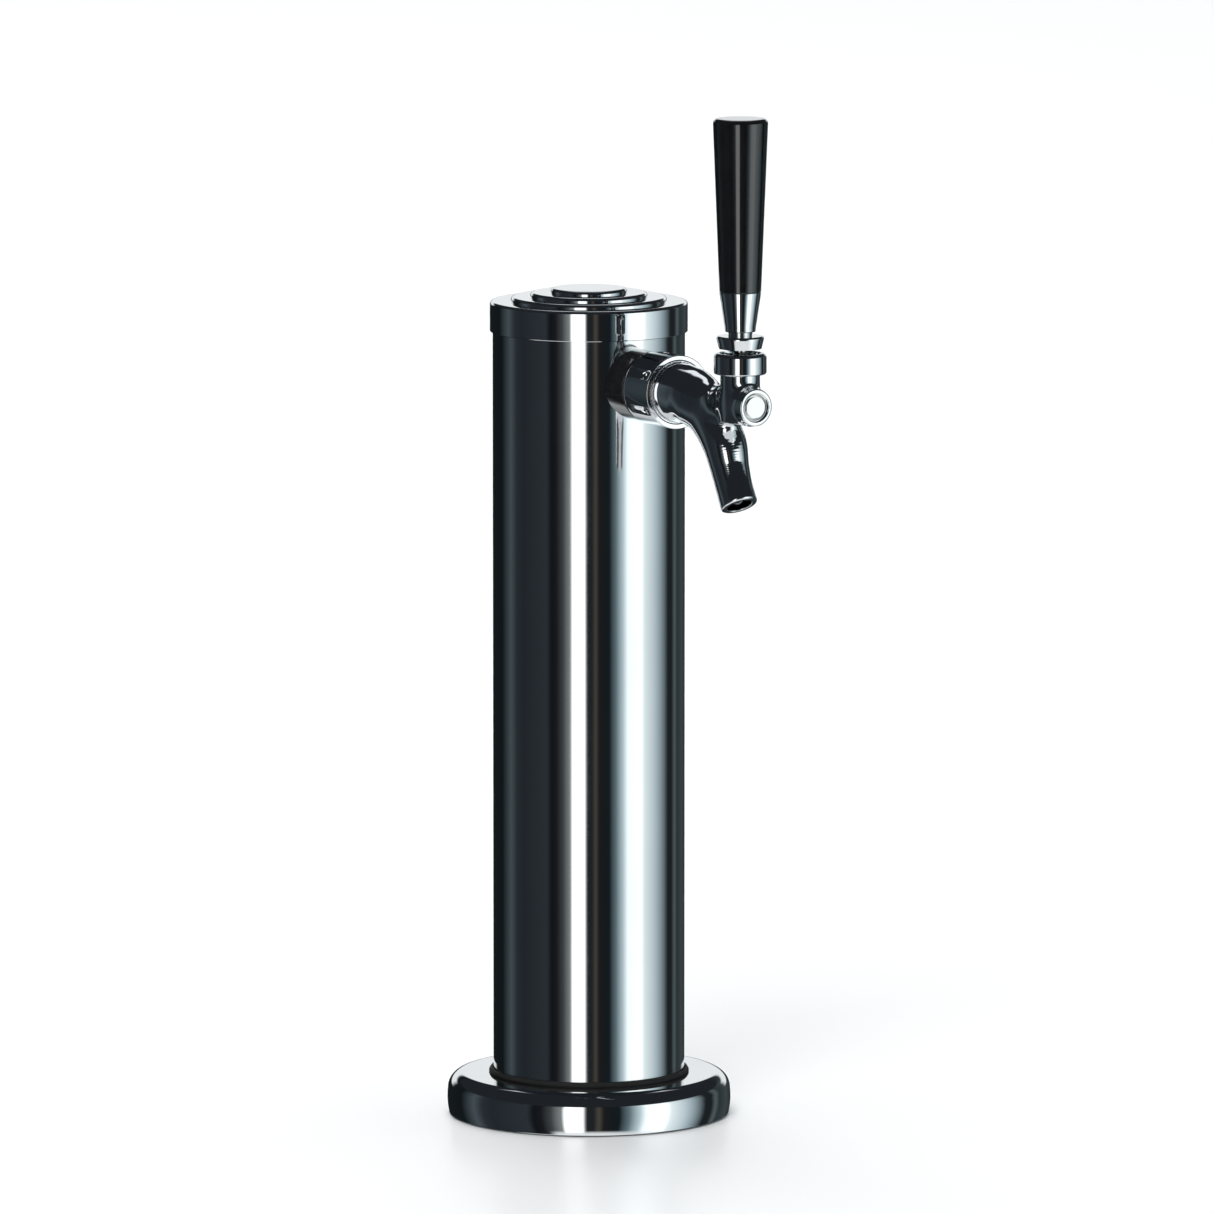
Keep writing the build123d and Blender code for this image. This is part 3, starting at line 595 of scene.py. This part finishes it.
def surface_net(f, lo, hi, h):
    """Mesh of f = 0 on a regular grid, with its points drawn onto the surface."""
    nx, ny, nz = [int(math.ceil((b - a) / h)) + 1 for a, b in zip(lo, hi)]
    xs = lo[0] + h * np.arange(nx, dtype=np.float32)
    ys = lo[1] + h * np.arange(ny, dtype=np.float32)
    zs = lo[2] + h * np.arange(nz, dtype=np.float32)
    vals = np.empty((nx, ny, nz), np.float32)
    step = 12
    for i in range(0, nx, step):
        X, Y, Z = np.meshgrid(xs[i:i + step], ys, zs, indexing="ij")
        vals[i:i + step] = f(X, Y, Z)
    s = vals < 0
    acc = np.zeros((nx - 1, ny - 1, nz - 1, 3), np.float32)
    cnt = np.zeros((nx - 1, ny - 1, nz - 1), np.int16)
    corner = [(0, 0, 0), (1, 0, 0), (0, 1, 0), (1, 1, 0), (0, 0, 1), (1, 0, 1), (0, 1, 1), (1, 1, 1)]

    def at(arr, c):
        return arr[c[0]:nx - 1 + c[0], c[1]:ny - 1 + c[1], c[2]:nz - 1 + c[2]]
    for a in corner:
        for ax in range(3):
            if a[ax]:
                continue
            b = tuple(1 if i == ax else a[i] for i in range(3))
            va, vb = at(vals, a), at(vals, b)
            m = at(s, a) != at(s, b)
            t = np.where(m, va / np.where(m, va - vb, 1), 0)
            for i in range(3):
                acc[..., i] += np.where(m, a[i] + (t if i == ax else 0), 0)
            cnt += m
    has = cnt > 0
    idx = -np.ones(has.shape, np.int64)
    idx[has] = np.arange(int(has.sum()))
    cell = np.argwhere(has)
    v = np.array(lo) + h * (cell + acc[has] / cnt[has][:, None])
    quads = []
    for ax in range(3):
        o1, o2 = (ax + 1) % 3, (ax + 2) % 3
        sl = [slice(1, -1)] * 3
        sl[ax] = slice(0, -1)
        sl2 = list(sl)
        sl2[ax] = slice(1, None)
        a, b = s[tuple(sl)], s[tuple(sl2)]
        m = np.argwhere(a != b)
        base = m.copy()
        base[:, o1] += 1
        base[:, o2] += 1
        inside_first = a[tuple(m.T)]

        def cell_at(d1, d2):
            q = base.copy()
            q[:, o1] -= d1
            q[:, o2] -= d2
            return idx[tuple(q.T)]
        c00, c10, c11, c01 = cell_at(0, 0), cell_at(1, 0), cell_at(1, 1), cell_at(0, 1)
        fwd = np.stack([c00, c10, c11, c01], 1)
        quads.append(np.where(inside_first[:, None], fwd, fwd[:, ::-1]))
    quads = np.concatenate(quads)
    e = 0.02

    def grad(p):
        g = np.empty_like(p)
        for i in range(3):
            dp = np.zeros(3)
            dp[i] = e
            a, b = p + dp, p - dp
            g[:, i] = (f(a[:, 0], a[:, 1], a[:, 2]) - f(b[:, 0], b[:, 1], b[:, 2])) / (2 * e)
        return g
    v = v.astype(np.float64)
    v0 = v.copy()
    for _ in range(5):
        g = grad(v)
        val = f(v[:, 0], v[:, 1], v[:, 2])
        l2 = np.maximum((g * g).sum(1), 0.05)
        step_v = -(val / l2)[:, None] * g
        v = v + step_v
        off = v - v0
        far = np.linalg.norm(off, axis=1)
        lim = 0.75 * h
        v = np.where((far > lim)[:, None], v0 + off * (lim / np.maximum(far, 1e-9))[:, None], v)
    e = 0.12
    g = grad(v)
    nrm = g / np.maximum(np.linalg.norm(g, axis=1), 1e-9)[:, None]
    return v, quads, nrm


def faucet_body():
    h = 0.36
    v, quads, nrm = surface_net(field, (-14.5, 59.9, 249.5), (14.5, 127.5, 313.6), h)
    world = np.stack([v[:, 0], -v[:, 1], v[:, 2]], 1)
    wn = np.stack([nrm[:, 0], -nrm[:, 1], nrm[:, 2]], 1)
    # mirroring d into -Y turns the faces over, so put them back
    a, b, c = world[quads[:, 0]], world[quads[:, 1]], world[quads[:, 2]]
    fn = np.cross(b - a, c - a)
    if (np.einsum("ij,ij->i", fn, wn[quads[:, 0]]) < 0).mean() > 0.5:
        quads = quads[:, ::-1]
    ob = make_mesh("faucet_body_skin", world * MM, quads.tolist())
    me = ob.data
    loops = np.empty(len(me.loops), np.int32)
    me.loops.foreach_get("vertex_index", loops)
    me.normals_split_custom_set_from_vertices([tuple(n) for n in wn[:len(me.vertices)]])
    return ob


stand_for(faucet_body(), "faucet_body", "root")

# ------------------------------------------------------------------ stage
def stage_material(name, col, rough):
    mat = bpy.data.materials.new(name)
    nt, b = nodes_of(mat)
    b.inputs["Base Color"].default_value = (*col, 1)
    b.inputs["Roughness"].default_value = rough
    return mat


bpy.ops.mesh.primitive_circle_add(vertices=96, radius=14.0, fill_type="NGON", location=(0, 0, -0.0002))
floor = bpy.context.object
floor.name = "stage_floor"
floor.data.materials.append(stage_material("stage_pale", (0.80, 0.81, 0.82), 0.32))
floor.visible_glossy = False

# ------------------------------------------------------------------ studio surroundings
AZ = math.radians(31.0)
world = bpy.data.worlds.new("studio")
bpy.context.scene.world = world
world.use_nodes = True
nt = world.node_tree
nt.nodes.clear()
out = nt.nodes.new("ShaderNodeOutputWorld")
bg = nt.nodes.new("ShaderNodeBackground")
nt.links.new(bg.outputs[0], out.inputs[0])
tc = nt.nodes.new("ShaderNodeTexCoord")
sep = nt.nodes.new("ShaderNodeSeparateXYZ")
nt.links.new(tc.outputs["Generated"], sep.inputs[0])


def dot2(cx, cy):
    d = nt.nodes.new("ShaderNodeVectorMath")
    d.operation = "DOT_PRODUCT"
    nt.links.new(tc.outputs["Generated"], d.inputs[0])
    d.inputs[1].default_value = (cx, cy, 0)
    return d.outputs["Value"]


def math_node(op, a, b=None, c=None):
    m = nt.nodes.new("ShaderNodeMath")
    m.operation = op
    for i, v in enumerate((a, b, c)):
        if v is None:
            continue
        if isinstance(v, (int, float)):
            m.inputs[i].default_value = v
        else:
            nt.links.new(v, m.inputs[i])
    return m.outputs[0]


phi = math_node("ARCTAN2", dot2(math.cos(AZ), -math.sin(AZ)), dot2(-math.sin(AZ), -math.cos(AZ)))
pos = math_node("MULTIPLY_ADD", phi, 1 / (2 * math.pi), 0.5)
STRIPS = [
    (-180, (0.010, 0.013, 0.015)), (-128, (0.007, 0.010, 0.011)), (-120, (0.026, 0.036, 0.042)), (-108, (0.065, 0.085, 0.095)),
    (-97, (0.024, 0.030, 0.036)), (-86, (0.018, 0.023, 0.029)), (-52, (0.027, 0.034, 0.040)), (-46, (0.007, 0.009, 0.011)),
    (-39, (0.011, 0.012, 0.014)), (-31, (0.055, 0.062, 0.066)), (-22, (0.25, 0.27, 0.27)), (-19.5, (1.6, 1.62, 1.62)),
    (-5.5, (1.6, 1.62, 1.62)), (-2.5, (0.018, 0.021, 0.022)), (4, (0.016, 0.018, 0.019)), (8, (0.075, 0.066, 0.056)),
    (12, (0.013, 0.013, 0.014)), (25, (0.008, 0.013, 0.017)), (33, (0.13, 0.19, 0.21)), (42, (0.56, 0.69, 0.73)),
    (48, (1.2, 1.32, 1.34)), (66, (1.35, 1.42, 1.42)), (71, (0.88, 0.99, 1.0)), (85, (0.56, 0.67, 0.71)),
    (97, (0.27, 0.345, 0.375)), (106, (0.075, 0.10, 0.11)), (110, (0.014, 0.018, 0.020)), (119, (0.013, 0.017, 0.019)),
    (126, (0.09, 0.115, 0.12)), (133, (0.028, 0.038, 0.042)), (150, (0.05, 0.062, 0.066)), (180, (0.010, 0.013, 0.015)),
]
strips = ramp(nt, pos, [((a + 180) / 360, c) for a, c in STRIPS])
el = math_node("ARCSINE", sep.outputs["Z"])


def smooth(fac, lo, hi):
    m = nt.nodes.new("ShaderNodeMapRange")
    m.interpolation_type = "SMOOTHSTEP"
    m.inputs["From Min"].default_value = lo
    m.inputs["From Max"].default_value = hi
    nt.links.new(fac, m.inputs[0])
    return m.outputs[0]


def mixc(fac, a, b):
    m = nt.nodes.new("ShaderNodeMix")
    m.data_type = "RGBA"
    nt.links.new(fac, m.inputs["Factor"])
    for sock, v in (("A", a), ("B", b)):
        if isinstance(v, tuple):
            m.inputs[sock].default_value = (*v, 1)
        else:
            nt.links.new(v, m.inputs[sock])
    return m.outputs["Result"]


R = math.radians
side = math_node("ABSOLUTE", phi)


def band(fac, a, b, c, d):
    """1 between b and c, 0 outside a to d, in degrees."""
    up_ = smooth(fac, R(a), R(b))
    dn = math_node("SUBTRACT", 1.0, smooth(fac, R(c), R(d)))
    return math_node("MULTIPLY", up_, dn)


# side panels end above the object; a pale backdrop low behind it, a panel high behind it, and the pale floor below
col = mixc(smooth(el, R(17), R(22)), strips, (0.016, 0.019, 0.023))
col = mixc(math_node("MULTIPLY", smooth(side, R(146), R(158)), band(el, 1.0, 4.0, 12.0, 16.0)), col, (0.86, 0.89, 0.90))
col = mixc(math_node("MULTIPLY", smooth(side, R(156), R(167)), band(el, 40.0, 43.0, 54.0, 60.0)), col, (0.95, 1.0, 1.04))
near = math_node("MULTIPLY", smooth(phi, R(-36), R(-26)), math_node("SUBTRACT", 1.0, smooth(phi, R(82), R(100))))
low = math_node("SUBTRACT", 1.0, smooth(el, R(-33), R(-27)))
col = mixc(math_node("MULTIPLY", near, low), col, (0.86, 0.89, 0.90))
col = mixc(math_node("SUBTRACT", 1.0, smooth(el, R(-58), R(-51))), col, (0.80, 0.83, 0.84))
nt.links.new(col, bg.inputs["Color"])
bg.inputs["Strength"].default_value = 1.0


def area(name, loc, target, size, energy, glossy):
    l = bpy.data.lights.new(name, "AREA")
    l.shape = "DISK"
    l.size = size
    l.energy = energy
    o = bpy.data.objects.new(name, l)
    o.location = loc
    o.rotation_euler = (Vector(target) - Vector(loc)).to_track_quat("-Z", "Y").to_euler()
    bpy.context.scene.collection.objects.link(o)
    o.visible_glossy = glossy
    return o


area("key", (-2.4, -2.2, 3.6), (0, 0, 0.15), 2.2, 100, False)
area("overhead", (0.5, 1.0, 7.0), (0.5, 1.0, 0.0), 9.0, 620, False)
area("far", (2.0, 6.0, 6.5), (2.0, 6.5, 0.0), 7.0, 430, False)

# ------------------------------------------------------------------ camera
cam_data = bpy.data.cameras.new("cam")
cam = bpy.data.objects.new("cam", cam_data)
bpy.context.scene.collection.objects.link(cam)
bpy.context.scene.camera = cam
dist = 4.71
cam.location = (-dist * math.sin(AZ), -dist * math.cos(AZ), 0.8645)
aim = Vector((0.006, -0.004, 0.2035))
cam.rotation_euler = (aim - cam.location).to_track_quat("-Z", "Y").to_euler()
cam_data.sensor_width = 36.0
cam_data.lens = 355.0
cam_data.clip_end = 60.0
cam_data.dof.use_dof = False

bpy.context.scene.view_settings.view_transform = "Standard"
bpy.context.scene.view_settings.look = "None"
